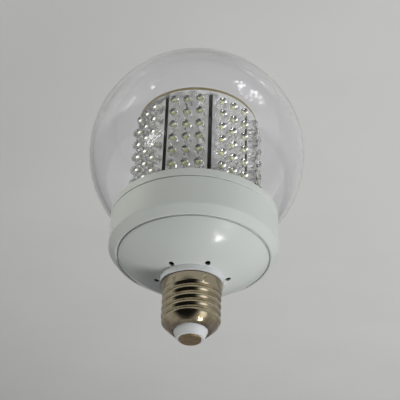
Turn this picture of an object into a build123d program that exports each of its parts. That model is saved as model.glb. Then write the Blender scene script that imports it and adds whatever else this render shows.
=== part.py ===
"""Clear globe LED bulb with a screw cap, for a low-voltage solar lighting supply.

The bulb hangs cap up. The origin is the middle of the centre contact's face, +Z points out of
the contact, and every height below is a distance down the bulb from that face.
An eight-sided drum of LED boards stands inside a clear globe. A white ring, collar and bowl
hold the globe and the driver, and the bowl's neck carries the screw shell.
"""
from build123d import *
from math import ceil, cos, hypot, radians, sin, sqrt, tan, tau
import os

os.makedirs("parts", exist_ok=True)

# Centre contact and insulator
contact_radius = 4.95
contact_stands = 0.7
contact_seat = 0.6
contact_round = 0.45
stem_radius = 1.3
tip_radius = 7.9
tip_height = 4.9
tip_rim = 1.0
tip_round = 0.3
insulator_depth = 6.0

# Screw shell
thread_radius = 13.15
thread_depth = 1.1
thread_pitch = 3.629
thread_turn = 16.5
cap_length = 27.3
shell_wall = 0.5
skirt_height = 4.2
skirt_step = 0.1
flare = 0.45
flare_height = 0.7
flare_run = 0.6
run_out = 1.25
lip_width = 0.8
lip_turn = 0.7
lip_land = 0.2
edge_round = 3.0

# LED drum
led_radius = 2.4
led_height = 5.3
led_dome = 1.3
column_gap = 1.35
row_gap = 2.53
board_edge = 0.89
board_gap = 2.0
board_thickness = 1.5
drum_head = 3.0
drum_foot = 5.7
top_board_edge = 1.75

# Globe
globe_wall = 2.0
globe_bulge = 14.6
drum_clearance = 2.8
mouth_seat = 1.0

# White housing: ring, collar and bowl
housing_wall = 2.0
ring_height = 4.3
ring_bevel = 0.5
groove_height = 0.5
groove_depth = 0.8
shoulder_width = 3.9
shoulder_height = 3.9
shoulder_round = 1.2
brim_width = 1.0
brim_rise = 0.45
brim_round = 0.35
seam_width = 0.7
seam_depth = 0.8
rim_step = 0.9
ledge_width = 2.0
ledge_height = 1.0
spigot_length = 4.0
spigot_wall = 1.8
dome_radius = 48.0
neck_height = 2.7
neck_step = 0.8
tube_wall = 1.8
tap_room = 3.8
vent_radius = 1.25
vent_edge = 0.1
vent_turn = 34.5

# Driver bay
bay_height = 9.6
board_clearance = 0.1
post_clearance = 0.6
boss_radius = 2.8
boss_inset = 10.2
rib_width = 2.2
screw_radius = 1.1
screw_length = 5.0
head_radius = 2.0
head_height = 1.3
wire_radius = 0.6
wire_bend = 2.5
wire_stand = 5.8
wire_spread = 5.0
capacitor_radius = 4.0
capacitor_length = 10.0
capacitor_place = (13.0, 4.0)
capacitor_groove = 0.4
choke_radius = 4.5
choke_height = 6.5
choke_flange = 1.0
choke_waist = 0.7
choke_place = (-12.0, 5.0)
chip_length = 5.0
chip_width = 4.0
chip_height = 1.6
chip_place = (0.0, -11.0)
diode_length = 4.4
diode_width = 2.6
diode_height = 2.2
diode_gap = 1.6
diode_place = (-11.0, -9.0)

BOARDS = 8
COLUMNS = 3
ROWS = 7
LED_SIDES = 10
VENTS = 6
SCREWS = 3
STEPS_PER_TURN = 8

# Drum
column_pitch = 2 * led_radius + column_gap
row_pitch = 2 * led_radius + row_gap
last_column = (COLUMNS - 1) / 2 * column_pitch
board_width = 2 * (last_column + led_radius + board_edge)
board_apothem = (board_width + board_gap) / (2 * tan(radians(180 / BOARDS)))
led_reach = hypot(board_apothem + led_height, last_column + led_radius)
rows_length = (ROWS - 1) * row_pitch
drum_length = drum_foot + drum_head + 2 * led_radius + rows_length
top_board_radius = hypot(board_apothem, board_width / 2) + top_board_edge

# Radii from the drum outwards
mouth_in = led_reach + drum_clearance
mouth_radius = mouth_in + globe_wall
globe_radius = mouth_radius + globe_bulge
globe_in = globe_radius - globe_wall
collar_radius = mouth_radius + housing_wall
lip_radius = collar_radius - shoulder_width
bowl_radius = lip_radius - seam_width
spigot_radius = bowl_radius - rim_step
spigot_bore = spigot_radius - spigot_wall
base_board_radius = mouth_radius - board_clearance
post_circle = mouth_in - head_radius - 4 * board_clearance
boss_circle = bowl_radius - boss_inset
dome_in = dome_radius - housing_wall

# Radii from the cap outwards
skirt_radius = thread_radius + skirt_step
bore_radius = thread_radius - thread_depth - shell_wall
tube_radius = bore_radius - tube_wall
neck_radius = skirt_radius + flare + neck_step
vent_circle = neck_radius + vent_radius + vent_edge


def fall(ball_radius, ball_height, radius):
    """Height at which the cap side of a ball on the axis reaches a radius."""
    return ball_height - sqrt(ball_radius ** 2 - radius ** 2)


# Heights down the bulb
contact_back = contact_stands + contact_seat
insulator_top = tip_height + insulator_depth
tube_end = insulator_top + tap_room
thread_top = cap_length - skirt_height
lip_radius_out = tip_radius + lip_width
lip_height = tip_height - lip_turn
cone_height = lip_height + skirt_radius - lip_radius_out
cone_inside = tip_height + lip_land + bore_radius - tip_radius
dome_foot = cap_length + neck_height
dome_height = dome_foot + sqrt(dome_radius ** 2 - neck_radius ** 2)
seam_height = fall(dome_radius, dome_height, bowl_radius)
seat_height = seam_height + seam_depth
shoulder_top = seam_height + shoulder_height
driver_height = seat_height + spigot_length
driver_top = driver_height + board_thickness
base_board_height = driver_top + bay_height
drum_height = base_board_height + board_thickness
collar_top = drum_height + mouth_seat
collar_edge = collar_top - groove_height
ring_top = collar_top + ring_height
globe_height = ring_top + sqrt(globe_radius ** 2 - mouth_radius ** 2)
top_board_height = drum_height + drum_length
top_board_face = top_board_height + board_thickness

# Turn of the first vent and of the screws between vents, from the side that LED board 1 faces
vent_start = 90 + vent_turn
screw_start = vent_start + 180 / VENTS

# Sketch plane of the half sections: x is the radius, y the distance down the bulb
SECTION = Plane((0, 0, 0), x_dir=(1, 0, 0), z_dir=(0, 1, 0))


def level(height):
    """Plane across the bulb, facing down it."""
    return Plane((0, 0, -height), x_dir=(1, 0, 0), z_dir=(0, 0, -1))


def board_plane(number, apothem):
    """Upright plane on one side of the drum, facing outwards, at the middle of its LED rows."""
    turn = radians(360 / BOARDS * (number - 1) - 90)
    out = (cos(turn), sin(turn), 0)
    middle = drum_height + drum_foot + led_radius + rows_length / 2
    return Plane((apothem * out[0], apothem * out[1], -middle), x_dir=(-out[1], out[0], 0), z_dir=out)


# Centre contact: a stamped disc with a rounded edge and a rivet stem through the insulator
with BuildPart() as centre_contact:
    with BuildSketch(level(0)):
        Circle(contact_radius)
    extrude(amount=contact_back)
    fillet(centre_contact.edges().filter_by(GeomType.CIRCLE).sort_by(Axis.Z)[-1], radius=contact_round)
    with BuildSketch(level(contact_back)):
        Circle(stem_radius)
    extrude(amount=insulator_top - contact_back)
centre_contact.part.label = "centre_contact"
export_step(centre_contact.part, "parts/centre_contact.step")

# Insulator: a cone round the contact, widening inside the shell to lie on its shoulder
with BuildPart() as cap_insulator:
    with BuildSketch(SECTION):
        with BuildLine():
            cone = FilletPolyline(
                (contact_radius, contact_stands),
                (contact_radius + tip_rim, contact_stands),
                (tip_radius, tip_height),
                radius=tip_round,
            )
            Polyline(
                cone @ 1,
                (tip_radius, tip_height + lip_land),
                (bore_radius, cone_inside),
                (bore_radius, insulator_top),
                (stem_radius, insulator_top),
                (stem_radius, contact_back),
                (contact_radius, contact_back),
                cone @ 0,
            )
        make_face()
    revolve(axis=Axis.Z)
cap_insulator.part.label = "cap_insulator"
export_step(cap_insulator.part, "parts/cap_insulator.step")

# Screw shell: the round right-hand thread is a loft through an off-centre circle that turns along
# the axis, trimmed by the coned shoulder that it runs out on. A rolled skirt closes its other end, over
# a plain bore.
crest_offset = thread_depth / 2
thread_length = thread_top - lip_height
thread_steps = ceil(STEPS_PER_TURN * thread_length / thread_pitch)
with BuildPart() as screw_shell:
    for step in range(thread_steps + 1):
        run = thread_length * step / thread_steps
        turn = radians(thread_turn) + tau * run / thread_pitch
        with BuildSketch(level(lip_height + run)):
            with Locations((crest_offset * cos(turn), crest_offset * sin(turn))):
                Circle(thread_radius - crest_offset)
    loft()
    with BuildSketch(SECTION):
        with BuildLine():
            shoulder = FilletPolyline(
                (skirt_radius, thread_top),
                (skirt_radius, cone_height),
                (lip_radius_out, lip_height),
                radius=edge_round,
            )
            Polyline(shoulder @ 1, (0, lip_height), (0, thread_top), shoulder @ 0)
        make_face()
    revolve(axis=Axis.Z, mode=Mode.INTERSECT)
    with BuildSketch(SECTION):
        with BuildLine():
            Polyline(
                (0, thread_top - run_out),
                (skirt_radius - run_out, thread_top - run_out),
                (skirt_radius, thread_top),
                (skirt_radius, cap_length - flare_height - flare_run),
                (skirt_radius + flare, cap_length - flare_height),
                (skirt_radius + flare, cap_length),
                (0, cap_length),
                close=True,
            )
        make_face()
    revolve(axis=Axis.Z)
    with BuildSketch(SECTION):
        with BuildLine():
            Polyline(
                (0, lip_height),
                (tip_radius, lip_height),
                (tip_radius, tip_height + lip_land),
                (bore_radius, cone_inside),
                (bore_radius, cap_length),
                (0, cap_length),
                close=True,
            )
        make_face()
    revolve(axis=Axis.Z, mode=Mode.SUBTRACT)
screw_shell.part.label = "screw_shell"
export_step(screw_shell.part, "parts/screw_shell.step")

# Bowl: ball-shaped underside with vents, a neck that plugs the shell and a spigot for the collar
dome_middle = (neck_radius + bowl_radius) / 2
dome_middle_in = (tube_radius + spigot_bore) / 2
with BuildPart() as base_bowl:
    with BuildSketch(SECTION):
        with BuildLine():
            inside = ThreePointArc(
                (tube_radius, fall(dome_in, dome_height, tube_radius)),
                (dome_middle_in, fall(dome_in, dome_height, dome_middle_in)),
                (spigot_bore, fall(dome_in, dome_height, spigot_bore)),
            )
            Polyline(
                inside @ 1,
                (spigot_bore, driver_height),
                (spigot_radius, driver_height),
                (spigot_radius, seat_height),
                (bowl_radius, seat_height),
                (bowl_radius, seam_height),
            )
            ThreePointArc(
                (bowl_radius, seam_height),
                (dome_middle, fall(dome_radius, dome_height, dome_middle)),
                (neck_radius, dome_foot),
            )
            Polyline(
                (neck_radius, dome_foot),
                (neck_radius, cap_length),
                (bore_radius, cap_length),
                (bore_radius, tube_end),
                (tube_radius, tube_end),
                inside @ 0,
            )
        make_face()
    revolve(axis=Axis.Z)
    with BuildSketch(level(driver_height)):
        with PolarLocations(boss_circle, SCREWS, start_angle=screw_start):
            Circle(boss_radius)
    extrude(until=Until.NEXT, dir=(0, 0, 1))
    with BuildSketch(level(driver_height)):
        with PolarLocations(boss_circle, SCREWS, start_angle=screw_start):
            Circle(screw_radius)
    extrude(amount=-screw_length, mode=Mode.SUBTRACT)
    with BuildSketch(level(cap_length)):
        with PolarLocations(vent_circle, VENTS, start_angle=vent_start):
            Circle(vent_radius)
    extrude(amount=seam_height - cap_length, mode=Mode.SUBTRACT)
base_bowl.part.label = "base_bowl"
export_step(base_bowl.part, "parts/base_bowl.step")

# Collar: straight band over a coned shoulder and a rounded brim, with a ledge and posts for the
# base board
brim_radius = lip_radius + brim_width
brim_height = seam_height + brim_rise
cone_middle = ((collar_radius + brim_radius) / 2, (shoulder_top + brim_height) / 2)
rib_length = collar_radius - housing_wall / 2 - post_circle
with BuildPart() as collar:
    with BuildSketch(SECTION):
        with BuildLine():
            outside = FilletPolyline(
                (collar_radius, collar_edge),
                (collar_radius, shoulder_top),
                cone_middle,
                radius=shoulder_round,
            )
            FilletPolyline(
                cone_middle,
                (brim_radius, brim_height),
                (lip_radius, seam_height),
                (lip_radius, seat_height),
                radius=brim_round,
            )
            Polyline(
                (lip_radius, seat_height),
                (spigot_radius, seat_height),
                (spigot_radius, seat_height + housing_wall),
                (mouth_radius, shoulder_top + housing_wall),
                (mouth_radius, base_board_height - ledge_height - ledge_width),
                (mouth_radius - ledge_width, base_board_height - ledge_height),
                (mouth_radius - ledge_width, base_board_height),
                (mouth_radius, base_board_height),
                (mouth_radius, collar_top),
                (collar_radius - groove_depth, collar_top),
                (collar_radius - groove_depth, collar_edge),
                outside @ 0,
            )
        make_face()
    revolve(axis=Axis.Z)
    with BuildSketch(level(base_board_height)):
        with PolarLocations(post_circle, SCREWS, start_angle=screw_start):
            Circle(boss_radius)
            with Locations((rib_length / 2, 0)):
                Rectangle(rib_length, rib_width)
    extrude(amount=post_clearance - bay_height)
    with BuildSketch(level(base_board_height)):
        with PolarLocations(post_circle, SCREWS, start_angle=screw_start):
            Circle(screw_radius)
    extrude(amount=-screw_length, mode=Mode.SUBTRACT)
collar.part.label = "collar"
export_step(collar.part, "parts/collar.step")

# Globe ring: trim ring round the globe's mouth, standing on the collar
with BuildPart() as globe_ring:
    with BuildSketch(SECTION):
        with BuildLine():
            Polyline(
                (mouth_radius, collar_top),
                (collar_radius - ring_bevel / 2, collar_top),
                (collar_radius, collar_top + ring_bevel / 2),
                (collar_radius, ring_top - ring_bevel),
                (collar_radius - ring_bevel, ring_top),
                (mouth_radius, ring_top),
                close=True,
            )
        make_face()
    revolve(axis=Axis.Z)
globe_ring.part.label = "globe_ring"
export_step(globe_ring.part, "parts/globe_ring.step")

# Globe: clear blown ball with a straight mouth that stands on the base board
with BuildPart() as globe:
    with BuildSketch(SECTION):
        with BuildLine():
            Line((mouth_radius, drum_height), (mouth_radius, ring_top))
            ThreePointArc(
                (mouth_radius, ring_top), (globe_radius, globe_height), (0, globe_height + globe_radius)
            )
            Line((0, globe_height + globe_radius), (0, globe_height + globe_in))
            neck_inside = (mouth_in, fall(globe_in, globe_height, mouth_in))
            ThreePointArc((0, globe_height + globe_in), (globe_in, globe_height), neck_inside)
            Polyline(neck_inside, (mouth_in, drum_height), (mouth_radius, drum_height))
        make_face()
    revolve(axis=Axis.Z)
globe.part.label = "globe"
export_step(globe.part, "parts/globe.step")

# Base board: round board on the collar's ledge and posts, carrying the drum
with BuildPart() as base_board:
    with BuildSketch(level(base_board_height)):
        Circle(base_board_radius)
        with PolarLocations(post_circle, SCREWS, start_angle=screw_start):
            Circle(screw_radius, mode=Mode.SUBTRACT)
    extrude(amount=board_thickness)
base_board.part.label = "base_board"
export_step(base_board.part, "parts/base_board.step")

# Top board: closes the drum and carries LEDs that face down the axis
with BuildPart() as top_board:
    with BuildSketch(level(top_board_height)):
        Circle(top_board_radius)
    extrude(amount=board_thickness)
top_board.part.label = "top_board"
export_step(top_board.part, "parts/top_board.step")

with BuildPart() as top_leds:
    with BuildSketch(level(top_board_face)):
        RegularPolygon(led_radius, LED_SIDES)
        with PolarLocations(row_pitch, 6):
            RegularPolygon(led_radius, LED_SIDES)
        with PolarLocations(2 * row_pitch, 12):
            RegularPolygon(led_radius, LED_SIDES)
    extrude(amount=led_height)
    tips = top_leds.faces().filter_by(Axis.Z).group_by(Axis.Z)[0]
    chamfer(tips.edges(), length=led_dome)
top_leds.part.label = "top_leds"
export_step(top_leds.part, "parts/top_leds.step")

# LED boards and their LEDs, one of each for every side of the drum
board_shift = (drum_foot - drum_head) / 2
for number in range(1, BOARDS + 1):
    with BuildPart() as led_board:
        with BuildSketch(board_plane(number, board_apothem - board_thickness)):
            with Locations((0, board_shift)):
                Rectangle(board_width, drum_length)
        extrude(amount=board_thickness)
    led_board.part.label = f"led_board_{number}"
    export_step(led_board.part, f"parts/led_board_{number}.step")

    with BuildPart() as leds:
        with BuildSketch(board_plane(number, board_apothem)):
            with GridLocations(column_pitch, row_pitch, COLUMNS, ROWS):
                RegularPolygon(led_radius, LED_SIDES)
        extrude(amount=led_height)
        outward = Axis((0, 0, 0), board_plane(number, 0).z_dir)
        tips = leds.faces().filter_by(outward).group_by(outward)[-1]
        chamfer(tips.edges(), length=led_dome)
    leds.part.label = f"leds_{number}"
    export_step(leds.part, f"parts/leds_{number}.step")

# Driver board on the bowl's spigot and bosses
with BuildPart() as driver_board:
    with BuildSketch(level(driver_height)):
        Circle(spigot_radius)
        with PolarLocations(boss_circle, SCREWS, start_angle=screw_start):
            Circle(screw_radius, mode=Mode.SUBTRACT)
    extrude(amount=board_thickness)
driver_board.part.label = "driver_board"
export_step(driver_board.part, "parts/driver_board.step")

# Smoothing capacitor: a can with a rolled groove, on the cap side of the driver board
with BuildPart() as capacitor:
    with BuildSketch(level(driver_height)):
        with Locations(capacitor_place):
            Circle(capacitor_radius)
    extrude(amount=-capacitor_length)
    fillet(capacitor.edges().sort_by(Axis.Z)[-1], radius=capacitor_groove)
    with BuildSketch(level(driver_height - 4 * capacitor_groove)):
        with Locations(capacitor_place):
            Circle(capacitor_radius)
            Circle(capacitor_radius - capacitor_groove, mode=Mode.SUBTRACT)
    extrude(amount=-2 * capacitor_groove, mode=Mode.SUBTRACT)
capacitor.part.label = "capacitor"
export_step(capacitor.part, "parts/capacitor.step")

# Choke: a drum core with a wound waist
with BuildPart() as choke:
    with BuildSketch(level(driver_height)):
        with Locations(choke_place):
            Circle(choke_radius)
    extrude(amount=-choke_height)
    with BuildSketch(level(driver_height - choke_flange)):
        with Locations(choke_place):
            Circle(choke_radius)
            Circle(choke_radius - choke_waist, mode=Mode.SUBTRACT)
    extrude(amount=2 * choke_flange - choke_height, mode=Mode.SUBTRACT)
choke.part.label = "choke"
export_step(choke.part, "parts/choke.step")

with BuildPart() as driver_chip:
    with BuildSketch(level(driver_height)):
        with Locations(chip_place):
            Rectangle(chip_length, chip_width)
    extrude(amount=-chip_height)
driver_chip.part.label = "driver_chip"
export_step(driver_chip.part, "parts/driver_chip.step")

with BuildPart() as diodes:
    with BuildSketch(level(driver_height)):
        with Locations(diode_place):
            with GridLocations(diode_width + diode_gap, diode_length + diode_gap, 2, 2):
                Rectangle(diode_width, diode_length)
    extrude(amount=-diode_height)
diodes.part.label = "diodes"
export_step(diodes.part, "parts/diodes.step")

# Wires: contact and shell to the driver, driver to the base board
with BuildPart() as contact_wire:
    with BuildSketch(level(insulator_top)):
        Circle(wire_radius)
    extrude(amount=driver_height - insulator_top)
contact_wire.part.label = "contact_wire"
export_step(contact_wire.part, "parts/contact_wire.step")

tap_height = (insulator_top + tube_end) / 2
tap_radius = sqrt(bore_radius ** 2 - wire_radius ** 2)
with BuildPart() as shell_wire:
    with BuildLine(SECTION) as route:
        FilletPolyline(
            (tap_radius, tap_height), (wire_stand, tap_height), (wire_stand, driver_height), radius=wire_bend
        )
    with BuildSketch(Plane(route.line @ 0, z_dir=route.line % 0)):
        Circle(wire_radius)
    sweep(path=route.line)
shell_wire.part.label = "shell_wire"
export_step(shell_wire.part, "parts/shell_wire.step")

with BuildPart() as feed_wires:
    with BuildSketch(level(driver_top)):
        with GridLocations(wire_spread, 0, 2, 1):
            Circle(wire_radius)
    extrude(amount=bay_height)
feed_wires.part.label = "feed_wires"
export_step(feed_wires.part, "parts/feed_wires.step")

# Self-tapping screws of the two round boards
with BuildPart() as driver_screws:
    with BuildSketch(level(driver_top)):
        with PolarLocations(boss_circle, SCREWS, start_angle=screw_start):
            Circle(head_radius)
    extrude(amount=head_height)
    with BuildSketch(level(driver_top)):
        with PolarLocations(boss_circle, SCREWS, start_angle=screw_start):
            Circle(screw_radius)
    extrude(amount=-board_thickness - screw_length)
driver_screws.part.label = "driver_screws"
export_step(driver_screws.part, "parts/driver_screws.step")

with BuildPart() as base_board_screws:
    with BuildSketch(level(drum_height)):
        with PolarLocations(post_circle, SCREWS, start_angle=screw_start):
            Circle(head_radius)
    extrude(amount=head_height)
    with BuildSketch(level(drum_height)):
        with PolarLocations(post_circle, SCREWS, start_angle=screw_start):
            Circle(screw_radius)
    extrude(amount=-board_thickness - screw_length)
base_board_screws.part.label = "base_board_screws"
export_step(base_board_screws.part, "parts/base_board_screws.step")
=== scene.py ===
"""Looks of the clear globe LED bulb: finishes for its solids, its LEDs and the stage for its picture."""

import math
import random

import bmesh
import bpy
from mathutils import Matrix, Vector


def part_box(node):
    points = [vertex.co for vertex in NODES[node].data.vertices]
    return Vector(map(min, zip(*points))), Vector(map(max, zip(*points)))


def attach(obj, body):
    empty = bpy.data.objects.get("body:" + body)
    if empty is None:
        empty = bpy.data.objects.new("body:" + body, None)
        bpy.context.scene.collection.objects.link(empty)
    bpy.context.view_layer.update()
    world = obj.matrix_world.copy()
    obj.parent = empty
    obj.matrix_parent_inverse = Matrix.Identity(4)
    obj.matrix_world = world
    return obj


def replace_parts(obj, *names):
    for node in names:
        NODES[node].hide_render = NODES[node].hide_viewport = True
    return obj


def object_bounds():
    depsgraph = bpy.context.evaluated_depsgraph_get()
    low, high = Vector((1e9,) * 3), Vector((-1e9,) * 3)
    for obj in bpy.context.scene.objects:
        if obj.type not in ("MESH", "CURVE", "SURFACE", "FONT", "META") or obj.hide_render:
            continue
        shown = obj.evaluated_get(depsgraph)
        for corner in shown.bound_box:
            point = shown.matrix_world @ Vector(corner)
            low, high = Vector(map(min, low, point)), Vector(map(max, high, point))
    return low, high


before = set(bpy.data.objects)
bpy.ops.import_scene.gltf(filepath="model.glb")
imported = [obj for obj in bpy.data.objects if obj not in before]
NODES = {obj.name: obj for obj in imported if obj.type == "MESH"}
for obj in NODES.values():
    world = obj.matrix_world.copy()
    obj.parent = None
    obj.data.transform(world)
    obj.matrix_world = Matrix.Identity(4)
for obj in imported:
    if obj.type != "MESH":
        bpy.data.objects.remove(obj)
CAD_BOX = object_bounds()

bl_info = {
    "name": "LED globe bulb",
    "version": (1, 0, 0),
    "blender": (4, 5, 0),
    "location": "View3D > Sidebar > Bulb",
    "description": "Finishes a clear globe LED bulb and sets its stage",
    "category": "Object",
}

MM = 0.001
PICTURE_WIDTH = 400
FOCAL_PIXELS = 1223.55
SMOOTH_UP_TO = math.radians(35)

# Globe, and the ring round its mouth
GLOBE_WALL = 2.0 * MM
RING_WALL = 2.0 * MM
GLOBE_STEPS = 72
GLOBE_SIDES = 128

# Bowl: depth of the ball's centre under the contact, its radius in the vents and at its face, and its neck
BOWL_CENTRE = 75.76 * MM
VENT_RADIUS = 47.1 * MM
BOWL_RADIUS = 47.8 * MM
NECK_RADIUS = 14.52 * MM
NECK_FOOT = 14.95 * MM
# Painted shade: near black inside the vents and on the bowl's inside
VENT_PAINTED_SHADE = (0.012, 0.012, 0.012)

# Screw cap, with depths under the contact
ROOT_RADIUS = 12.0 * MM
CREST_RADIUS = 13.0 * MM
SKIRT_RADIUS = 13.25 * MM
PUNCHES = 6
PUNCH_TURN = 57.0
PUNCH_DOWN = 24.4 * MM
# Band of painted shade along the shell's rim, where it meets the neck
RIM_START = 26.7 * MM
RIM_END = 27.05 * MM
RIM_PAINTED_SHADE = (0.06, 0.045, 0.025)
SHOULDER_MIDDLE = 7.2 * MM
SHOULDER_HALF = 2.6 * MM
SHOULDER_BOW = 0.28 * MM

# Drum of LED boards, and the rings of LEDs on its far end
BOARDS = 8
COLUMNS = 3
ROWS = 7
TOP_RINGS = (6, 12)

# An LED's faces round and over its dome, and the numbers of its finishes after the resin
LED_SIDES = 8
LED_DOME_STEPS = 3
LED_FRAME = 1
LED_CHIP = 2
LED_MIRROR = 3

# Directions from the bulb to the bright and dark places of the room; the streak runs along its stroke
WINDOW_WAY = (-0.64, -0.19, 0.745)
CEILING_WAY = (-0.43, -0.05, 0.90)
BACK_WAY = (0.1, 0.74, 0.6)
AHEAD_WAY = (0.15, -0.72, 0.68)
PANE_WAY = (0.70, 0.62, 0.36)
STREAK_WAY = (0.604, -0.777, 0.179)
STROKE_WAY = (0.743, 0.593, 0.307)
GLINT_WAY = (-0.403, 0.823, 0.424)
CUP_LIGHT_WAY = (0.42, -0.9, -0.05)

# Ceiling lamps: shift to two sides, share of the power, and width
CEILING_LAMPS = (
    (0.0, 0.0, 0.7, 0.10),
    (0.08, 0.03, 0.1, 0.03),
    (-0.11, 0.05, 0.1, 0.03),
    (0.02, -0.13, 0.1, 0.03),
)
FLOOR_REACH = 4.0


class BulbSizes(bpy.types.PropertyGroup):
    """Sizes of what is modelled here; the solids bring their own."""

    led_radius: bpy.props.FloatProperty(
        name="LED radius", description="Radius of an LED's flange", default=2.4 * MM, unit="LENGTH"
    )
    led_height: bpy.props.FloatProperty(
        name="LED height", description="Height of an LED over its board", default=5.3 * MM, unit="LENGTH"
    )
    led_waist: bpy.props.FloatProperty(
        name="LED waist", description="Step from the flange to the resin body", default=0.2 * MM, unit="LENGTH"
    )
    chip_height: bpy.props.FloatProperty(
        name="Chip height", description="Height of the chip over the board", default=3.05 * MM, unit="LENGTH"
    )
    cup_radius: bpy.props.FloatProperty(
        name="Cup radius", description="Radius of the reflector cup's rim", default=1.7 * MM, unit="LENGTH"
    )
    cup_slope: bpy.props.FloatProperty(
        name="Cup slope", description="Width of the cup's mirror", default=0.95 * MM, unit="LENGTH"
    )
    cup_dish: bpy.props.FloatProperty(
        name="Cup dish", description="Depth of the cup's mirror", default=0.7 * MM, unit="LENGTH"
    )
    chip_dome: bpy.props.FloatProperty(
        name="Chip dome", description="Rise of the phosphor over the chip", default=0.7 * MM, unit="LENGTH"
    )
    column_pitch: bpy.props.FloatProperty(
        name="Column pitch", description="LED spacing across a board", default=6.15 * MM, unit="LENGTH"
    )
    row_pitch: bpy.props.FloatProperty(
        name="Row pitch", description="LED spacing along a board", default=7.33 * MM, unit="LENGTH"
    )
    lean: bpy.props.FloatProperty(
        name="LED lean", description="Most that an LED leans from square", default=math.radians(3.5),
        unit="ROTATION", subtype="ANGLE",
    )
    punch_radius: bpy.props.FloatProperty(
        name="Punch radius", description="Radius of the punch that crimps the shell", default=0.9 * MM,
        unit="LENGTH",
    )
    punch_depth: bpy.props.FloatProperty(
        name="Punch depth", description="Depth of a crimp in the skirt", default=0.45 * MM, unit="LENGTH"
    )


class BulbColours(bpy.types.PropertyGroup):
    """Colours of the finishes."""

    housing: bpy.props.FloatVectorProperty(
        name="Housing", description="White moulded plastic", subtype="COLOR", default=(0.62, 0.655, 0.625)
    )
    globe: bpy.props.FloatVectorProperty(
        name="Globe", description="Clear plastic", subtype="COLOR", default=(0.975, 0.972, 0.985)
    )
    plating: bpy.props.FloatVectorProperty(
        name="Plating", description="Nickel plating", subtype="COLOR", default=(0.60, 0.53, 0.38)
    )
    tarnish: bpy.props.FloatVectorProperty(
        name="Tarnish", description="Stain in the thread's roots", subtype="COLOR", default=(0.28, 0.21, 0.11)
    )
    brass: bpy.props.FloatVectorProperty(
        name="Brass", description="Darkened contact", subtype="COLOR", default=(0.48, 0.37, 0.19)
    )
    insulator: bpy.props.FloatVectorProperty(
        name="Insulator", description="White insulator", subtype="COLOR", default=(0.67, 0.69, 0.70)
    )
    mask: bpy.props.FloatVectorProperty(
        name="Solder mask", description="White face of the boards", subtype="COLOR", default=(0.74, 0.75, 0.74)
    )
    laminate: bpy.props.FloatVectorProperty(
        name="Laminate", description="Cut edge of the boards", subtype="COLOR", default=(0.26, 0.21, 0.08)
    )
    neck: bpy.props.FloatVectorProperty(
        name="Neck", description="Neck that plugs the cap", subtype="COLOR", default=(0.69, 0.71, 0.725)
    )
    phosphor: bpy.props.FloatVectorProperty(
        name="Phosphor", description="Chip under its phosphor", subtype="COLOR", default=(0.94, 0.96, 0.50)
    )
    floor: bpy.props.FloatVectorProperty(
        name="Floor", description="Pale sheet", subtype="COLOR", default=(0.80, 0.80, 0.79)
    )


class BulbStage(bpy.types.PropertyGroup):
    """Camera, lamps and floor."""

    eye: bpy.props.FloatVectorProperty(
        name="Camera place", description="Where the camera stands", subtype="XYZ", unit="LENGTH",
        default=(-0.08484, -0.45688, 0.25452),
    )
    sight: bpy.props.FloatVectorProperty(
        name="Line of sight", description="Where the camera looks", subtype="XYZ",
        default=(0.1452, 0.8034, -0.5775),
    )
    head: bpy.props.FloatVectorProperty(
        name="Camera head", description="The picture's upward direction", subtype="XYZ",
        default=(-0.0696, -0.5740, -0.8160),
    )
    focal_widths: bpy.props.FloatProperty(
        name="Focal length", description="Focal length in picture widths", default=FOCAL_PIXELS / PICTURE_WIDTH
    )
    floor_drop: bpy.props.FloatProperty(
        name="Floor drop", description="Room between globe and floor", default=0.3, unit="LENGTH"
    )
    window_power: bpy.props.FloatProperty(
        name="Window", description="Power of the window lamp", default=27.3, unit="POWER"
    )
    lamp_power: bpy.props.FloatProperty(
        name="Ceiling lamps", description="Power of the small overhead lamps", default=1.1, unit="POWER"
    )
    bounce_power: bpy.props.FloatProperty(
        name="Bounce", description="Power of the soft light from the sheet", default=2.16, unit="POWER"
    )
    side_power: bpy.props.FloatProperty(
        name="Side light", description="Power of the soft light beside the window", default=4.55, unit="POWER"
    )
    sheet_power: bpy.props.FloatProperty(
        name="Sheet lamp", description="Power of the lamp over the far sheet", default=7.7, unit="POWER"
    )
    sky: bpy.props.FloatProperty(
        name="Room light", description="Brightness of the room overhead", subtype="FACTOR", default=0.194
    )
    horizon: bpy.props.FloatProperty(
        name="Wall light", description="Brightness of the room all round", subtype="FACTOR", default=0.0
    )
    mirrored: bpy.props.FloatProperty(
        name="Mirrored room", description="Brightness of the room in what mirrors it", subtype="FACTOR",
        default=0.36,
    )


class Wire:
    """A node's output that takes part in sums: each operator adds a Math node."""

    def __init__(self, finish, socket):
        self.finish = finish
        self.socket = socket

    def maths(self, operation, other):
        """This output and another number through a Math node."""
        return self.finish.node("Math", {"operation": operation}, {0: self, 1: other})

    def __add__(self, other):
        return self.maths("ADD", other)

    def __sub__(self, other):
        return self.maths("SUBTRACT", other)

    def __mul__(self, other):
        return self.maths("MULTIPLY", other)

    def __truediv__(self, other):
        return self.maths("DIVIDE", other)

    def __pow__(self, other):
        return self.maths("POWER", other)

    def __rsub__(self, other):
        return self.finish.node("Math", {"operation": "SUBTRACT"}, {0: other, 1: self})

    __radd__ = __add__
    __rmul__ = __mul__


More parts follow.
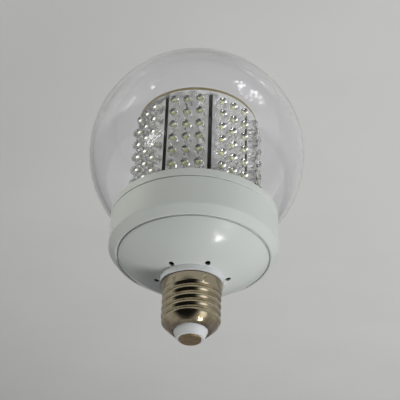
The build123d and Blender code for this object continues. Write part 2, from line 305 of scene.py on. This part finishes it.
class Finish:
    """One node tree, of a material or of the room, and the ways to add to it."""

    def __init__(self, owner):
        self.owner = owner
        owner.use_nodes = True
        self.tree = owner.node_tree
        self.tree.nodes.clear()

    def node(self, kind, settings=None, sockets=None, out=0):
        """Adds a node, its settings first and then its sockets, and gives one of its outputs."""
        made = self.tree.nodes.new("ShaderNode" + kind)
        for name, value in (settings or {}).items():
            setattr(made, name, value)
        for name, value in (sockets or {}).items():
            if isinstance(value, Wire):
                self.tree.links.new(value.socket, made.inputs[name])
            else:
                made.inputs[name].default_value = value
        return Wire(self, made.outputs[out])

    def place(self):
        """The point of the surface, in metres."""
        return self.node("TexCoord", out="Object")

    def ray(self, kind):
        """What the light path says: 1 for rays of a kind, or a count of the faces passed."""
        return self.node("LightPath", out=kind)

    def axes(self, vector):
        """The three numbers of a vector."""
        parts = self.node("SeparateXYZ", {}, {0: vector}).socket.node
        return [Wire(self, parts.outputs[name]) for name in "XYZ"]

    def from_axis(self, spot):
        """Distance from the bulb's axis, and height."""
        x, y, z = self.axes(spot)
        return (x * x + y * y) ** 0.5, z

    def noise(self, scale, detail=2.0, vector=None):
        """Noise from 0 to 1 with about this many grains a metre."""
        return self.node(
            "TexNoise", {}, {"Vector": vector or self.place(), "Scale": scale, "Detail": detail}, "Fac"
        )

    def drawn(self, scales, detail):
        """Noise drawn out along an axis, with its own grain for each."""
        return self.noise(1.0, detail, self.node("Mapping", {}, {"Vector": self.place(), "Scale": scales}))

    def step(self, value, low, high):
        """Rises smoothly from 0 at low to 1 at high."""
        return self.node("MapRange", {"interpolation_type": "SMOOTHSTEP"}, {0: value, 1: low, 2: high})

    def blend(self, share, first, second):
        """Mixes two colours."""
        return self.node("Mix", {"data_type": "RGBA"}, {0: share, 6: opaque(first), 7: opaque(second)}, 2)

    def bump(self, height, distance):
        """Shades the surface as if it rose by a share of this distance."""
        return self.node("Bump", {}, {"Height": height, "Distance": distance}, "Normal")

    def shell(self, **inputs):
        """The Principled shader, with spaces in its sockets' names written as underscores."""
        named = {name.replace("_", " "): value for name, value in inputs.items()}
        named = {("IOR" if name == "ior" else name): value for name, value in named.items()}
        named = {
            name: (opaque(value) if name in ("Base Color", "Emission Color") else value)
            for name, value in named.items()
        }
        return self.node("BsdfPrincipled", {}, named)

    def surface(self, shader):
        """Ends the tree with its shader and gives the material or room."""
        kind = "World" if isinstance(self.owner, bpy.types.World) else "Material"
        out = self.tree.nodes.new("ShaderNodeOutput" + kind)
        self.tree.links.new(shader.socket, out.inputs["Surface"])
        return self.owner


def finish(name):
    """Starts a new material."""
    return Finish(bpy.data.materials.new(name))


def opaque(colour):
    """A colour with its fourth number, or a link as it is."""
    return colour if isinstance(colour, Wire) else (*colour[:3], 1.0)


def grey(value):
    return (value, value, value)


def shade(colour, share):
    """A colour made darker or lighter, up to full white."""
    return [min(1.0, part * share) for part in colour]


def moulded_white(name, colour, gloss, tint=None):
    """Moulded plastic with a faint flow pattern and a fine ripple; a function may tint places of it."""
    f = finish(name)
    cloud = f.noise(55.0, 3.0)
    grain = f.noise(1900.0, 2.0)
    tone = f.blend(cloud, shade(colour, 0.965), shade(colour, 1.03))
    if tint:
        tone = tint(f, tone)
    return f.surface(
        f.shell(
            Base_Color=tone,
            Roughness=gloss + 0.05 * cloud + 0.03 * grain,
            Normal=f.bump(grain, 0.004 * MM),
            ior=1.5,
        )
    )


def lets_lamps_through(f, glass):
    """Glass that lamps and scattered light pass straight, so what is behind it is lit."""
    passing = f.ray("Is Shadow Ray").maths("MAXIMUM", f.ray("Is Diffuse Ray"))
    clear = f.node("BsdfTransparent", {}, {"Color": opaque(grey(0.97))})
    return f.node("MixShader", {}, {0: passing, 1: glass, 2: clear})


def clear_plastic(name, colour, ior, gloss):
    """Clear resin or plastic with a trace of ripple from its mould."""
    f = finish(name)
    ripple = f.noise(60.0, 1.0)
    glass = f.shell(
        Base_Color=tuple(colour),
        Roughness=gloss + 0.01 * ripple,
        Transmission_Weight=1.0,
        ior=ior,
        Normal=f.bump(ripple, 0.02 * MM),
    )
    return f.surface(lets_lamps_through(f, glass))


def nickel(name, colours):
    """Plated brass: stained in the thread's roots, with painted shade along its rim by the neck, its shoulder
    shaded as if bowed.
    """
    f = finish(name)
    radius, height = f.from_axis(f.place())
    crest = f.step(radius, ROOT_RADIUS, CREST_RADIUS)
    smear = f.noise(220.0, 4.0)
    stain = f.blend(0.35 + 0.65 * crest, colours.tarnish, colours.plating)
    tone = f.blend(f.step(smear, 0.35, 0.75), stain, shade(colours.plating, 1.08))
    # Painted shade: a dark band along the rim where the shell meets the neck; the band is also rougher
    clear_of_rim_shade = f.step(height, -RIM_END, -RIM_START)
    tone = f.blend(clear_of_rim_shade, RIM_PAINTED_SHADE, tone)
    bow = (((height + SHOULDER_MIDDLE) / SHOULDER_HALF) ** 2.0).maths("MINIMUM", 1.0)
    lines = f.drawn((900.0, 900.0, 9000.0), 2.0)
    return f.surface(
        f.shell(
            Base_Color=tone,
            Metallic=1.0,
            Roughness=0.09 + 0.08 * smear + 0.04 * lines + 0.3 * (1.0 - clear_of_rim_shade),
            Normal=f.bump(0.007 * lines - bow, SHOULDER_BOW),
        )
    )


def dark_brass(name, colour):
    """Contact darkened by handling, with fine scratches."""
    f = finish(name)
    cloud = f.noise(420.0, 4.0)
    scratch = f.drawn((300.0, 6000.0, 300.0), 1.0)
    tone = f.blend(cloud, shade(colour, 0.6), shade(colour, 1.5))
    return f.surface(
        f.shell(
            Base_Color=tone,
            Metallic=1.0,
            Roughness=0.34 + 0.2 * cloud,
            Normal=f.bump(scratch, 0.004 * MM),
        )
    )


def round_board(name, colours):
    """Round board, lying across the bulb: white faces, and a rim of cut laminate."""
    f = finish(name)
    weave = f.noise(900.0, 3.0)
    upright = f.axes(f.node("NewGeometry", out="Normal"))[2]
    rim = f.blend(weave, shade(colours.laminate, 0.55), shade(colours.laminate, 1.5))
    tone = f.blend(f.step(upright * upright, 0.3, 0.5), rim, colours.mask)
    return f.surface(
        f.shell(Base_Color=tone, Roughness=0.35 + 0.1 * weave, Normal=f.bump(weave, 0.01 * MM))
    )


def led_board_face(name, colours):
    """Upright LED board: white mask outside, and laminate on its cut edges and its back, darkened to near
    black as painted shade inside the drum.
    """
    f = finish(name)
    weave = f.noise(900.0, 3.0)
    cloud = f.noise(160.0, 3.0)
    x, y = f.axes(f.place())[:2]
    facing_x, facing_y = f.axes(f.node("NewGeometry", out="Normal"))[:2]
    outward = (x * facing_x + y * facing_y) / (x * x + y * y) ** 0.5
    front = f.blend(cloud, shade(colours.mask, 0.92), colours.mask)
    # Laminate colour darkened to near black: painted shade inside the drum and in the slits between boards
    back = f.blend(weave, shade(colours.laminate, 0.03), shade(colours.laminate, 0.14))
    tone = f.blend(f.step(outward, 0.6, 0.8), back, front)
    return f.surface(
        f.shell(Base_Color=tone, Roughness=0.3 + 0.15 * weave, Normal=f.bump(weave, 0.01 * MM))
    )


def plain(name, colour, gloss, metal=0.0, grain=700.0):
    """Simple finish of a small piece, with a little wear in colour and gloss."""
    f = finish(name)
    cloud = f.noise(grain, 3.0)
    tone = f.blend(cloud, shade(colour, 0.8), shade(colour, 1.15))
    return f.surface(f.shell(Base_Color=tone, Metallic=metal, Roughness=gloss + 0.12 * cloud))


def windings(name, colour):
    """Enamelled wire in turns round the choke."""
    f = finish(name)
    turns = f.node(
        "TexWave", {"bands_direction": "Z"}, {"Vector": f.place(), "Scale": 1100.0, "Distortion": 0.6}, "Fac"
    )
    tone = f.blend(turns, shade(colour, 0.45), colour)
    return f.surface(
        f.shell(Base_Color=tone, Metallic=0.6, Roughness=0.4 + 0.1 * turns, Normal=f.bump(turns, 0.1 * MM))
    )


def dress(material, *names):
    """Gives CAD nodes their finish."""
    for name in names:
        slots = NODES[name].data.materials
        slots.clear()
        slots.append(material)


def outline(radius, height):
    """Starts the half section of a turned piece at one corner."""
    mesh = bmesh.new()
    return mesh, mesh.verts.new((radius, 0.0, height))


def line(mesh, end, radius, height):
    """Draws the section on to a new corner."""
    end = bmesh.ops.extrude_vert_indiv(mesh, verts=[end])["verts"][0]
    end.co = (radius, 0.0, height)
    return end


def arc(mesh, end, centre_height, angle, steps):
    """Draws the section on round a centre on the axis."""
    made = bmesh.ops.spin(
        mesh, geom=[end], cent=(0.0, 0.0, centre_height), axis=(0.0, 1.0, 0.0), angle=angle, steps=steps
    )
    return next(part for part in made["geom_last"] if isinstance(part, bmesh.types.BMVert))


def turn(mesh, steps):
    """Turns the section about the axis into a closed body with its faces outwards."""
    bmesh.ops.spin(
        mesh, geom=mesh.verts[:] + mesh.edges[:], cent=(0, 0, 0), axis=(0, 0, 1), angle=math.tau,
        steps=steps, use_merge=True,
    )
    bmesh.ops.remove_doubles(mesh, verts=mesh.verts, dist=1e-7)
    bmesh.ops.recalc_face_normals(mesh, faces=mesh.faces)


def piece(name, mesh, materials):
    """Makes a finished piece of a bmesh: smooth, with its finishes and riding on the bulb."""
    data = bpy.data.meshes.new(name)
    for face in mesh.faces:
        face.smooth = True
    mesh.to_mesh(data)
    mesh.free()
    for material in materials:
        data.materials.append(material)
    made = bpy.data.objects.new(name, data)
    bpy.context.scene.collection.objects.link(made)
    data.set_sharp_from_angle(angle=SMOOTH_UP_TO)
    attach(made, "root")
    return made


class BULB_OT_housing(bpy.types.Operator):
    """Finish the white ring, collar and bowl"""

    bl_idname = "bulb.housing"
    bl_label = "Housing"

    def execute(self, context):
        colours = context.scene.bulb_colours
        dress(moulded_white("housing_white", colours.housing, 0.11), "globe_ring", "collar")

        def neck_and_vents(f, tone):
            """The neck's own white, and painted shade inside the vents and on the bowl's inside."""
            radius, height = f.from_axis(f.place())
            tone = f.blend(f.step(radius, NECK_RADIUS, NECK_FOOT), colours.neck, tone)
            reach = (radius ** 2.0 + (height + BOWL_CENTRE) ** 2.0) ** 0.5
            # Painted shade: near black past the vents' mouths, inside the vents and on the bowl's inside
            return f.blend(f.step(reach, VENT_RADIUS, BOWL_RADIUS), VENT_PAINTED_SHADE, tone)

        dress(moulded_white("bowl_white", colours.housing, 0.11, neck_and_vents), "base_bowl")
        return {"FINISHED"}


class BULB_OT_globe(bpy.types.Operator):
    """Make the clear globe: a ball with a straight mouth, walled inside and out"""

    bl_idname = "bulb.globe"
    bl_label = "Globe"

    def execute(self, context):
        low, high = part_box("globe")
        ring_low, ring_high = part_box("globe_ring")
        ball = high.x
        inner = ball - GLOBE_WALL
        middle = low.z + ball
        mouth = ring_high.x - RING_WALL
        mouth_in = mouth - GLOBE_WALL
        outer_sweep = math.atan2(ring_low.z - middle, mouth) + math.pi / 2
        inner_sweep = math.acos(mouth_in / inner) + math.pi / 2

        mesh, end = outline(mouth, high.z)
        end = line(mesh, end, mouth, ring_low.z)
        end = arc(mesh, end, middle, outer_sweep, GLOBE_STEPS)
        end = line(mesh, end, 0.0, low.z + GLOBE_WALL)
        end = arc(mesh, end, middle, -inner_sweep, GLOBE_STEPS)
        end = line(mesh, end, mouth_in, high.z)
        first = min(mesh.verts, key=lambda vert: (vert.co - Vector((mouth, 0, high.z))).length)
        mesh.edges.new((end, first))
        turn(mesh, GLOBE_SIDES)
        on_axis = [vert for vert in mesh.verts if math.hypot(vert.co.x, vert.co.y) < 1e-7]
        axis_edges = [edge for edge in mesh.edges if all(vert in on_axis for vert in edge.verts)]
        bmesh.ops.delete(mesh, geom=axis_edges, context="EDGES")

        glass = clear_plastic("globe_clear", context.scene.bulb_colours.globe, 1.49, 0.0)
        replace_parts(piece("clear_globe", mesh, [glass]), "globe")
        return {"FINISHED"}


def crimp(made, sizes):
    """Presses punch marks into the skirt of the screw shell."""
    marks = bmesh.new()
    reach = SKIRT_RADIUS + sizes.punch_radius - sizes.punch_depth
    for number in range(PUNCHES):
        turned = Matrix.Rotation(math.radians(360 / PUNCHES * number + PUNCH_TURN), 4, "Z")
        place = turned @ Matrix.Translation((reach, 0.0, -PUNCH_DOWN))
        bmesh.ops.create_icosphere(marks, subdivisions=3, radius=sizes.punch_radius, matrix=place)
    data = bpy.data.meshes.new("punch")
    marks.to_mesh(data)
    marks.free()
    punch = bpy.data.objects.new("punch", data)
    bpy.context.scene.collection.objects.link(punch)
    cut = made.modifiers.new("crimp", "BOOLEAN")
    cut.operation = "DIFFERENCE"
    cut.object = punch
    cut.solver = "EXACT"
    graph = bpy.context.evaluated_depsgraph_get()
    crimped = bpy.data.meshes.new_from_object(made.evaluated_get(graph))
    made.modifiers.clear()
    made.data = crimped
    for face in crimped.polygons:
        face.use_smooth = True
        face.material_index = 0
    crimped.set_sharp_from_angle(angle=SMOOTH_UP_TO)
    bpy.data.objects.remove(punch)


class BULB_OT_cap(bpy.types.Operator):
    """Crimp the screw shell with punch marks and finish the cap"""

    bl_idname = "bulb.cap"
    bl_label = "Screw cap"

    def execute(self, context):
        colours = context.scene.bulb_colours
        metal = nickel("cap_nickel", colours)
        shell = bmesh.new()
        shell.from_mesh(NODES["screw_shell"].data)
        bmesh.ops.remove_doubles(shell, verts=shell.verts, dist=1e-6)
        made = piece("crimped_shell", shell, [metal])
        crimp(made, context.scene.bulb_sizes)
        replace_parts(made, "screw_shell")
        dress(moulded_white("insulator_white", colours.insulator, 0.18), "cap_insulator")
        dress(dark_brass("contact_brass", colours.brass), "centre_contact")
        return {"FINISHED"}


class BULB_OT_boards(bpy.types.Operator):
    """Finish the LED boards and the round boards above and below the drum"""

    bl_idname = "bulb.boards"
    bl_label = "Boards"

    def execute(self, context):
        colours = context.scene.bulb_colours
        dress(led_board_face("led_board_white", colours), *[f"led_board_{n + 1}" for n in range(BOARDS)])
        dress(round_board("round_board_white", colours), "top_board", "base_board")
        return {"FINISHED"}


def paint_faces(verts, number):
    """Gives the faces round these vertices a finish by its number."""
    faces = {face for vert in verts for face in vert.link_faces}
    for face in faces:
        face.material_index = number
    return faces


def led_shape(sizes):
    """One LED, base at the origin and lens along Z: clear body, reflector cup, chip and two posts."""
    body_radius = sizes.led_radius - sizes.led_waist
    spring = sizes.led_height - body_radius
    stand = 0.05 * MM
    flange_top = 0.9 * MM
    mesh, end = outline(0.0, stand)
    end = line(mesh, end, sizes.led_radius, stand)
    end = line(mesh, end, sizes.led_radius, flange_top)
    end = line(mesh, end, body_radius, flange_top)
    end = line(mesh, end, body_radius, spring)
    arc(mesh, end, spring, -math.pi / 2, LED_DOME_STEPS)
    turn(mesh, LED_SIDES)

    cup_top = sizes.chip_height + 0.35 * MM
    cup_depth = 0.75 * MM
    made = bmesh.ops.create_cone(
        mesh, cap_ends=True, segments=LED_SIDES, radius1=sizes.cup_radius * 0.6, radius2=sizes.cup_radius,
        depth=cup_depth, matrix=Matrix.Translation((0, 0, cup_top - cup_depth / 2)),
    )
    cup = paint_faces(made["verts"], LED_FRAME)
    lid = max(cup, key=lambda face: face.calc_center_median().z)
    walls = bmesh.ops.inset_individual(mesh, faces=[lid], thickness=sizes.cup_slope, depth=-sizes.cup_dish)
    for wall in walls["faces"]:
        wall.material_index = LED_MIRROR
    lid.material_index = LED_CHIP
    rise = sizes.chip_dome
    sides = bmesh.ops.inset_individual(mesh, faces=[lid], thickness=0.35 * rise, depth=0.6 * rise)
    for side in sides["faces"]:
        side.material_index = LED_CHIP
    bmesh.ops.poke(mesh, faces=[lid], offset=0.4 * rise)

    post_depth = 0.3 * MM
    for across, width, top in (
        (-0.15 * MM, 0.6 * MM, cup_top - cup_depth),
        (1.72 * MM, 0.3 * MM, cup_top - 0.5 * MM),
    ):
        size = Matrix.Diagonal((width, post_depth, top - 2 * stand, 1.0))
        lift = Matrix.Translation((across, 0, (top + 2 * stand) / 2))
        post = bmesh.ops.create_cube(mesh, size=1.0, matrix=lift @ size)
        paint_faces(post["verts"], LED_FRAME)
    for face in mesh.faces:
        face.smooth = True
    data = bpy.data.meshes.new("led")
    mesh.to_mesh(data)
    mesh.free()
    return data


def led_group(places, shape, sizes, draw):
    """Sets an LED at each place, each with its own slight lean and turn."""
    mesh = bmesh.new()
    for place in places:
        before = len(mesh.verts)
        mesh.from_mesh(shape)
        mesh.verts.ensure_lookup_table()
        spin = Matrix.Rotation(draw.choice((0, 1)) * math.pi + draw.uniform(-0.25, 0.25), 4, "Z")
        lean = Matrix.Rotation(draw.uniform(-1, 1) * sizes.lean, 4, "X")
        sway = Matrix.Rotation(draw.uniform(-1, 1) * sizes.lean, 4, "Y")
        bmesh.ops.transform(mesh, matrix=place @ sway @ lean @ spin, verts=mesh.verts[before:])
    return mesh


class BULB_OT_leds(bpy.types.Operator):
    """Make the clear round LEDs of the boards and of the drum's far end"""

    bl_idname = "bulb.leds"
    bl_label = "LEDs"

    def execute(self, context):
        sizes = context.scene.bulb_sizes
        shape = led_shape(sizes)
        looks = [
            clear_plastic("led_resin", (0.96, 0.965, 0.955), 1.5, 0.01),
            plain("led_lead_frame", (0.80, 0.80, 0.78), 0.5, 0.0, 3000.0),
            plain("led_phosphor", context.scene.bulb_colours.phosphor, 0.55, 0.0, 2500.0),
            plain("led_cup_mirror", (0.82, 0.82, 0.80), 0.03, 1.0, 3000.0),
        ]
        draw = random.Random(7)
        top_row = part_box("leds_1")[1].z - sizes.led_radius
        face = -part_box("led_board_1")[0].y
        for number in range(BOARDS):
            angle = math.tau / BOARDS * number
            side = Matrix.Rotation(angle, 4, "Z") @ Matrix.Rotation(math.pi / 2, 4, "X")
            places = []
            for row in range(ROWS):
                for column in range(COLUMNS):
                    across = (column - 1) * sizes.column_pitch
                    up = top_row - row * sizes.row_pitch
                    places.append(side @ Matrix.Translation((across, up, face)))
            mesh = led_group(places, shape, sizes, draw)
            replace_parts(piece(f"round_leds_{number + 1}", mesh, looks), f"leds_{number + 1}")

        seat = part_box("top_board")[0].z
        down = Matrix.Translation((0, 0, seat)) @ Matrix.Rotation(math.pi, 4, "X")
        places = [down]
        for ring, count in enumerate(TOP_RINGS, 1):
            for number in range(count):
                way = Matrix.Rotation(math.tau / count * number, 4, "Z")
                places.append(down @ way @ Matrix.Translation((ring * sizes.row_pitch, 0, 0)))
        mesh = led_group(places, shape, sizes, draw)
        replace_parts(piece("round_top_leds", mesh, looks), "top_leds")
        return {"FINISHED"}


class BULB_OT_driver(bpy.types.Operator):
    """Finish the driver, its wires and its screws"""

    bl_idname = "bulb.driver"
    bl_label = "Driver"

    def execute(self, context):
        dress(plain("driver_laminate", (0.10, 0.22, 0.09), 0.35), "driver_board")
        dress(plain("capacitor_sleeve", (0.03, 0.035, 0.06), 0.35), "capacitor")
        dress(windings("choke_copper", (0.55, 0.26, 0.10)), "choke")
        dress(plain("package_black", (0.03, 0.03, 0.03), 0.45), "driver_chip", "diodes")
        dress(plain("wire_red", (0.45, 0.03, 0.025), 0.4), "contact_wire")
        dress(plain("wire_black", (0.03, 0.03, 0.03), 0.4), "shell_wire", "feed_wires")
        dress(plain("screw_steel", (0.55, 0.55, 0.56), 0.25, 1.0), "driver_screws", "base_board_screws")
        return {"FINISHED"}


class Room(Finish):
    """The world's node tree, and the ways to mark places in it."""

    def __init__(self):
        super().__init__(bpy.data.worlds.new("room"))
        self.way = self.node("TexCoord", out="Generated")

    def along(self, direction):
        """1 in a direction, 0 square to it and -1 away from it."""
        unit = tuple(Vector(direction).normalized())
        return self.node("VectorMath", {"operation": "DOT_PRODUCT"}, {0: self.way, 1: unit}, "Value")

    def spot(self, direction, inner, outer):
        """1 within the inner angle of a direction and 0 beyond the outer one, in degrees."""
        return self.step(self.along(direction), math.cos(math.radians(outer)), math.cos(math.radians(inner)))

    def oval(self, middle, axes, outer, inner):
        """1 inside an oval round a direction and 0 outside it; each axis has a direction and a reach."""
        (first, first_reach), (second, second_reach) = axes
        reach = (self.along(first) / first_reach) ** 2.0 + (self.along(second) / second_reach) ** 2.0
        return self.step(reach, outer, inner) * self.step(self.along(middle), 0.0, 0.1)


def shown_in_gloss(room, calm):
    """What shiny faces mirror: the calm room with a dark place ahead and the window."""
    ahead = Vector(AHEAD_WAY).normalized()
    side = ahead.cross((0, 0, 1)).normalized()
    dark = room.oval(ahead, ((side, 0.66), (side.cross(ahead), 0.52)), 1.4, 0.65)
    shown = room.blend(dark, calm, grey(0.006))
    return room.blend(room.spot(WINDOW_WAY, 3, 15), shown, grey(1.4))


def shown_in_globe(room, calm):
    """What the globe's walls mirror: the calm room with a speckled pane, a barred streak and a glint."""
    cells = room.node("TexVoronoi", {}, {"Vector": room.way, "Scale": 17.0}, "Distance")
    dots = room.step(cells, 0.4, 0.3)
    shown = room.blend(room.spot(PANE_WAY, 8, 14) * (0.05 + 0.95 * dots), calm, grey(13.0))
    streak = Vector(STREAK_WAY).normalized()
    stroke = Vector(STROKE_WAY).normalized()
    across = streak.cross(stroke)
    spread = {0: room.along(stroke) * 5.0, 1: room.along(across) * 32.0, 2: 0.3}
    bars = room.step(room.noise(1.0, 1.0, room.node("CombineXYZ", {}, spread)), 0.46, 0.58)
    patch = room.oval(streak, ((stroke, 0.24), (across, 0.11)), 1.2, 0.4)
    shown = room.blend(patch * bars, shown, grey(16.0))
    return room.blend(room.spot(GLINT_WAY, 1, 2), shown, grey(9.0))


def shown_in_cups(room, shown):
    """What the LEDs' cups mirror, out through the globe: a dark place overhead and a bright one in front."""
    front = room.along((0, -1, 0))
    overhead = room.step(front, -0.1, 0.05) * room.step(front, 0.8, 0.66)
    overhead = overhead * room.step(room.along((0, 0, 1)), -0.05, 0.1)
    overhead = overhead * room.step(room.along((1, 0, 0)), 0.42, 0.18)
    shown = room.blend(overhead, shown, grey(0.004))
    return room.blend(room.spot(CUP_LIGHT_WAY, 28, 34), shown, grey(3.0))


def room_light(stage):
    """The room: even for scattered light, and with its dark and bright places for what mirrors it."""
    room = Room()
    level = room.step(room.axes(room.way)[2], 0.8, 0.0)
    even = room.blend(level, grey(stage.sky), grey(stage.horizon))
    calm = room.blend(room.spot(BACK_WAY, 20, 70), grey(stage.mirrored), (0.20, 0.195, 0.235))
    in_globe = shown_in_globe(room, calm)
    # A ray that has passed more than four faces went in and out of an LED as well as the globe
    in_led = room.step(room.ray("Transmission Depth"), 4.4, 4.6)
    through = room.blend(in_led, in_globe, shown_in_cups(room, in_globe))
    tone = room.blend(room.ray("Is Glossy Ray"), even, shown_in_gloss(room, calm))
    tone = room.blend(room.ray("Is Transmission Ray"), tone, through)
    tone = room.blend(room.ray("Is Camera Ray"), tone, grey(0.42))
    return room.surface(room.node("Background", {}, {"Color": tone}))


def lay_floor(scene):
    """Lays the pale sheet, with painted shade towards one side, a painted shadow under the bulb and a painted
    glow that makes it pale far off.
    """
    colour = scene.bulb_colours.floor
    mesh = bmesh.new()
    ground = Matrix.Translation((0, 0, CAD_BOX[0].z - scene.bulb_stage.floor_drop))
    bmesh.ops.create_grid(mesh, x_segments=40, y_segments=40, size=FLOOR_REACH, matrix=ground)
    data = bpy.data.meshes.new("floor")
    mesh.to_mesh(data)
    mesh.free()

    f = finish("floor_sheet")
    x, y = f.axes(f.place())[:2]
    radius = f.from_axis(f.place())[0]
    tone = f.blend(f.noise(9.0, 3.0), shade(colour, 0.95), shade(colour, 1.05))
    # Painted shade: the sheet darker towards one side
    tone = f.blend(0.6 * f.step(y - 0.7 * x, 0.38, 0.1), tone, shade(colour, 0.8))
    # Painted shadow: the sheet darker under the bulb
    tone = f.blend(f.step(radius, 0.05, 0.2), shade(colour, 0.68), tone)
    # Painted glow: far off the sheet glows to the camera alone, so it looks pale
    far = f.step(radius, 1.3, 3.0) * f.ray("Is Camera Ray")
    painted_far_glow = f.blend(far, grey(0.0), grey(0.3))
    data.materials.append(
        f.surface(f.shell(Base_Color=tone, Roughness=0.9, Emission_Color=painted_far_glow, Emission_Strength=1.0))
    )
    floor = bpy.data.objects.new("floor", data)
    scene.collection.objects.link(floor)


def soft_lamp(name, power, size, direction, distance):
    """Hangs an area lamp in a direction from the bulb's middle, facing it."""
    lamp = bpy.data.lights.new(name, "AREA")
    lamp.energy = power
    lamp.size = size
    way = Vector(direction).normalized()
    low, high = CAD_BOX
    made = bpy.data.objects.new(name, lamp)
    made.location = (low + high) / 2 + way * distance
    made.rotation_mode = "QUATERNION"
    made.rotation_quaternion = (-way).to_track_quat("-Z", "Y")
    made.visible_camera = False
    bpy.context.scene.collection.objects.link(made)
    return made


def hang_lamps(scene):
    """Hangs the window, the soft lights to its sides, the lamp over the far sheet and the ceiling lamps."""
    stage = scene.bulb_stage
    window = soft_lamp("window", stage.window_power, 0.42, WINDOW_WAY, 2.4)
    bounce = soft_lamp("sheet_bounce", stage.bounce_power, 0.35, (0.88, -0.42, -0.2), 0.7)
    bounce.data.color = (1.0, 1.0, 0.93)
    fill = soft_lamp("side_fill", stage.side_power, 0.6, (-0.95, -0.25, 0.15), 1.5)
    for lamp in (window, bounce, fill):
        lamp.visible_glossy = False
    for lamp in (bounce, fill):
        lamp.visible_transmission = False

    over = bpy.data.lights.new("sheet_lamp", "SPOT")
    over.energy = stage.sheet_power
    over.spot_size = math.radians(90)
    over.spot_blend = 1.0
    over.shadow_soft_size = 0.2
    hung = bpy.data.objects.new("sheet_lamp", over)
    hung.location = (-0.2, 0.9, 0.6)
    scene.collection.objects.link(hung)

    for number, (side, rise, share, size) in enumerate(CEILING_LAMPS):
        way = Vector(CEILING_WAY) + Vector((side, rise, 0.0))
        lamp = soft_lamp(f"ceiling_lamp_{number + 1}", stage.lamp_power * share, size, way, 1.1)
        lamp.data.shape = "DISK"


def stand_camera(scene):
    """Stands the camera and turns it along its line of sight."""
    stage = scene.bulb_stage
    camera = bpy.data.cameras.new("camera")
    camera.sensor_width = 36.0
    camera.lens = stage.focal_widths * camera.sensor_width
    camera.clip_start = 0.01
    eye = bpy.data.objects.new("camera", camera)
    back = -Vector(stage.sight).normalized()
    right = Vector(stage.head).cross(back).normalized()
    up = back.cross(right)
    turned = Matrix((right, up, back)).transposed().to_4x4()
    eye.matrix_world = Matrix.Translation(stage.eye) @ turned
    scene.collection.objects.link(eye)
    scene.camera = eye


class BULB_OT_stage(bpy.types.Operator):
    """Set the pale floor, the room light, the lamps and the camera"""

    bl_idname = "bulb.stage"
    bl_label = "Stage"

    def execute(self, context):
        scene = context.scene
        lay_floor(scene)
        scene.world = room_light(scene.bulb_stage)
        hang_lamps(scene)
        stand_camera(scene)
        scene.view_settings.view_transform = "Standard"
        return {"FINISHED"}


class BULB_PT_panel(bpy.types.Panel):
    """Lists the steps and the values that can be changed"""

    bl_idname = "BULB_PT_panel"
    bl_label = "LED globe bulb"
    bl_space_type = "VIEW_3D"
    bl_region_type = "UI"
    bl_category = "Bulb"

    def draw(self, context):
        for step in STEPS:
            self.layout.operator(step.bl_idname)
        for group in GROUPS:
            values = getattr(context.scene, group)
            for name in values.__annotations__:
                self.layout.prop(values, name)


STEPS = (
    BULB_OT_housing,
    BULB_OT_globe,
    BULB_OT_cap,
    BULB_OT_boards,
    BULB_OT_leds,
    BULB_OT_driver,
    BULB_OT_stage,
)
GROUPS = {"bulb_sizes": BulbSizes, "bulb_colours": BulbColours, "bulb_stage": BulbStage}
CLASSES = (*GROUPS.values(), *STEPS, BULB_PT_panel)


def register():
    for made in CLASSES:
        bpy.utils.register_class(made)
    for name, group in GROUPS.items():
        setattr(bpy.types.Scene, name, bpy.props.PointerProperty(type=group))


def unregister():
    for name in GROUPS:
        delattr(bpy.types.Scene, name)
    for made in reversed(CLASSES):
        bpy.utils.unregister_class(made)


def main():
    register()
    bpy.ops.bulb.housing()
    bpy.ops.bulb.globe()
    bpy.ops.bulb.cap()
    bpy.ops.bulb.boards()
    bpy.ops.bulb.leds()
    bpy.ops.bulb.driver()
    bpy.ops.bulb.stage()
    bpy.context.view_layer.update()


if __name__ == "__main__":
    main()
